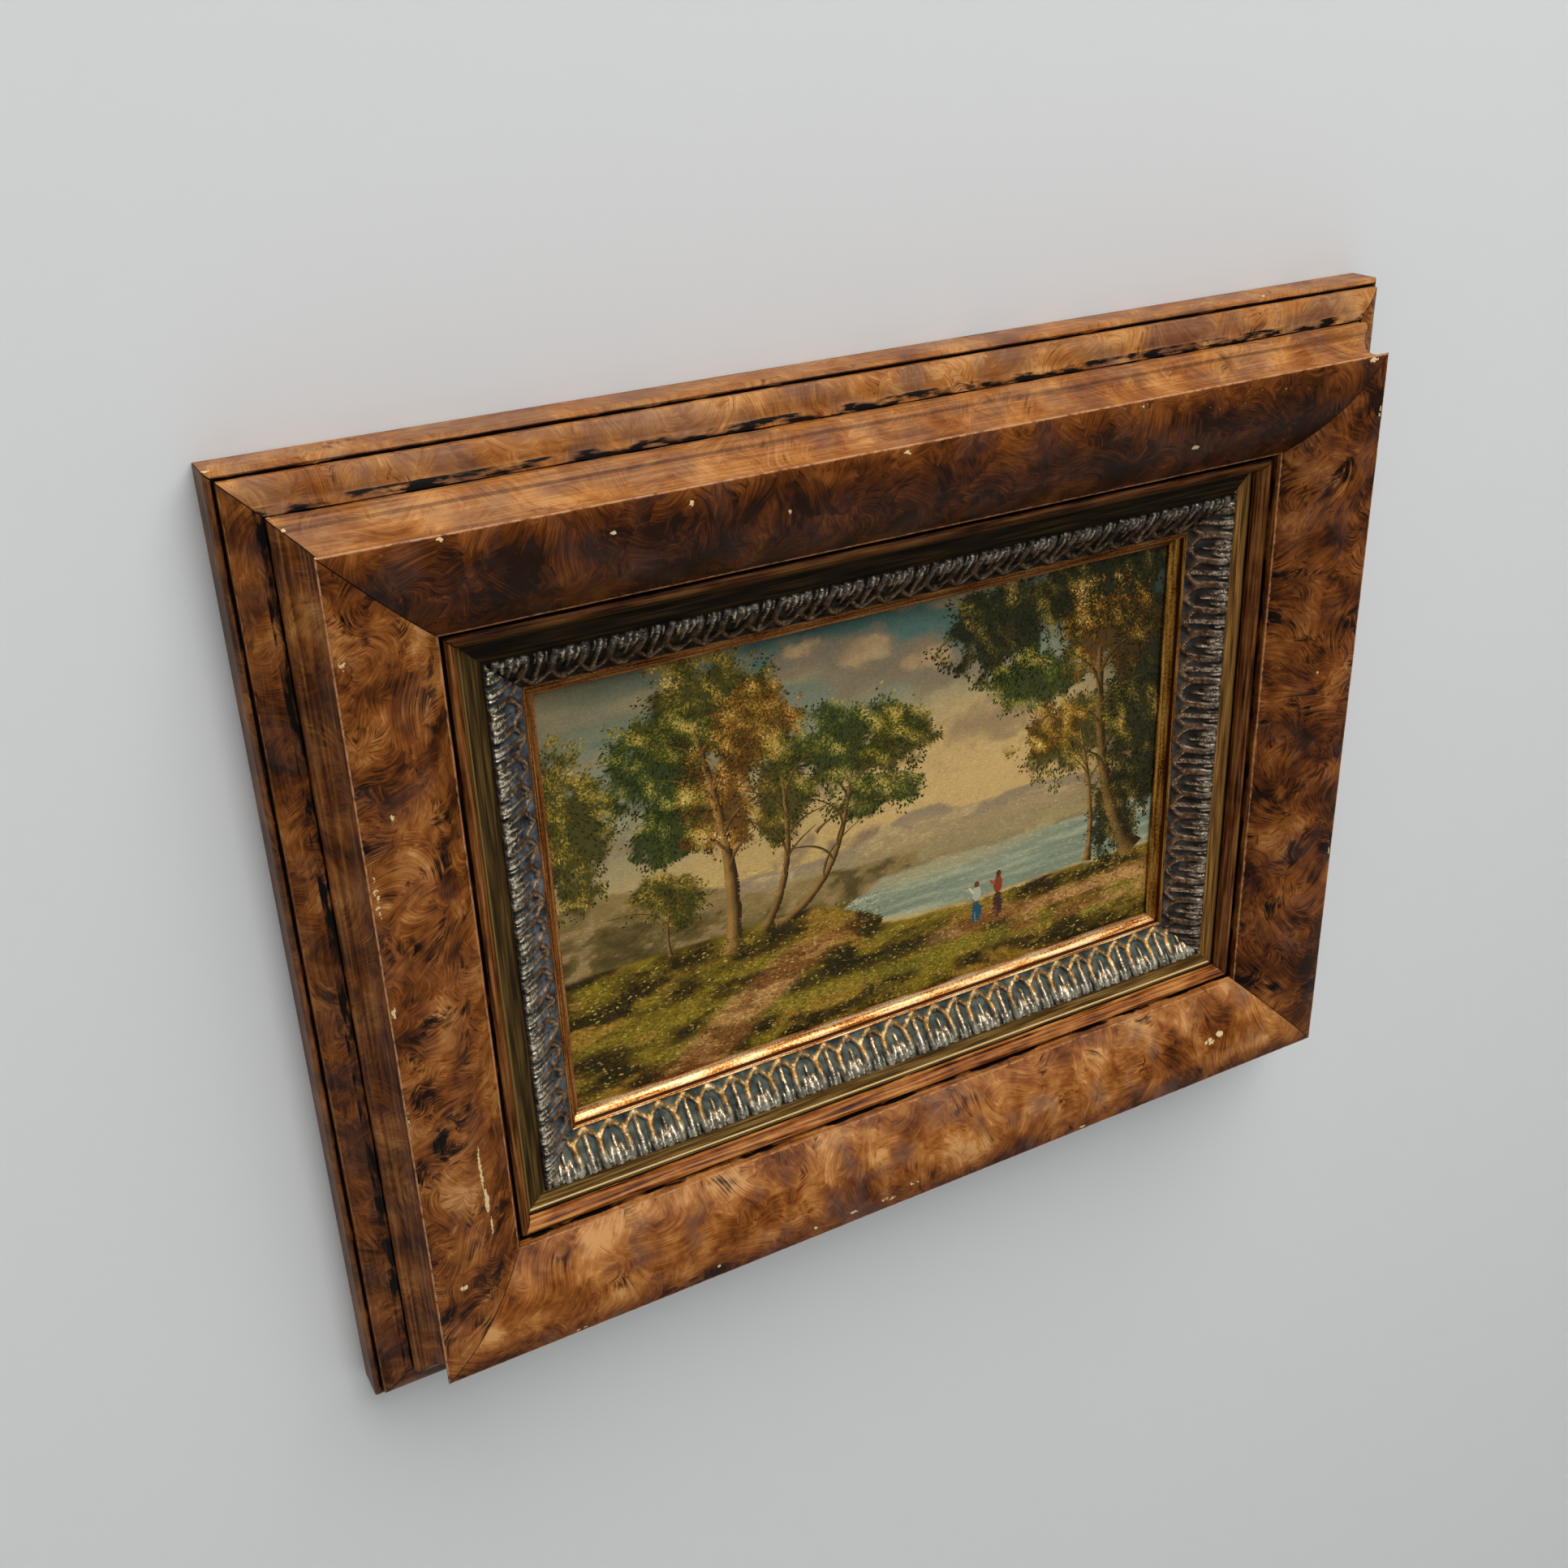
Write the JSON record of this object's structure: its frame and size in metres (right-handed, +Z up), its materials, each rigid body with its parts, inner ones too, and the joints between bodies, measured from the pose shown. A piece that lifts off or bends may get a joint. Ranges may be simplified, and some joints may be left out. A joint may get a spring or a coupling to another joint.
{
  "type": "framed oil painting",
  "caption": "Small landscape oil painting on board in a deep mitred burl-finish frame with a carved liner, hung flat on a wall.",
  "frame": {"origin": "the middle of the flat back of the frame's top rail, where the picture hangs against the wall", "axes": "+X along the picture's width, to the viewer's right; +Y out of the back, into the wall, so the picture faces -Y; +Z up"},
  "size_m": [0.2358, 0.0227, 0.1842],
  "materials": {
    "frame": "brown faux burl under satin lacquer",
    "liner": "silvered and gilt carving with grey-blue in the recesses",
    "painting": "oil paint under satin varnish"
  },
  "bodies": {
    "root": {"frame_top": "frame", "frame_bottom": "frame", "frame_left": "frame", "frame_right": "frame", "liner_top": "liner", "liner_bottom": "liner", "liner_left": "liner", "liner_right": "liner", "painted_board": "painting"}
  },
  "joints": []
}
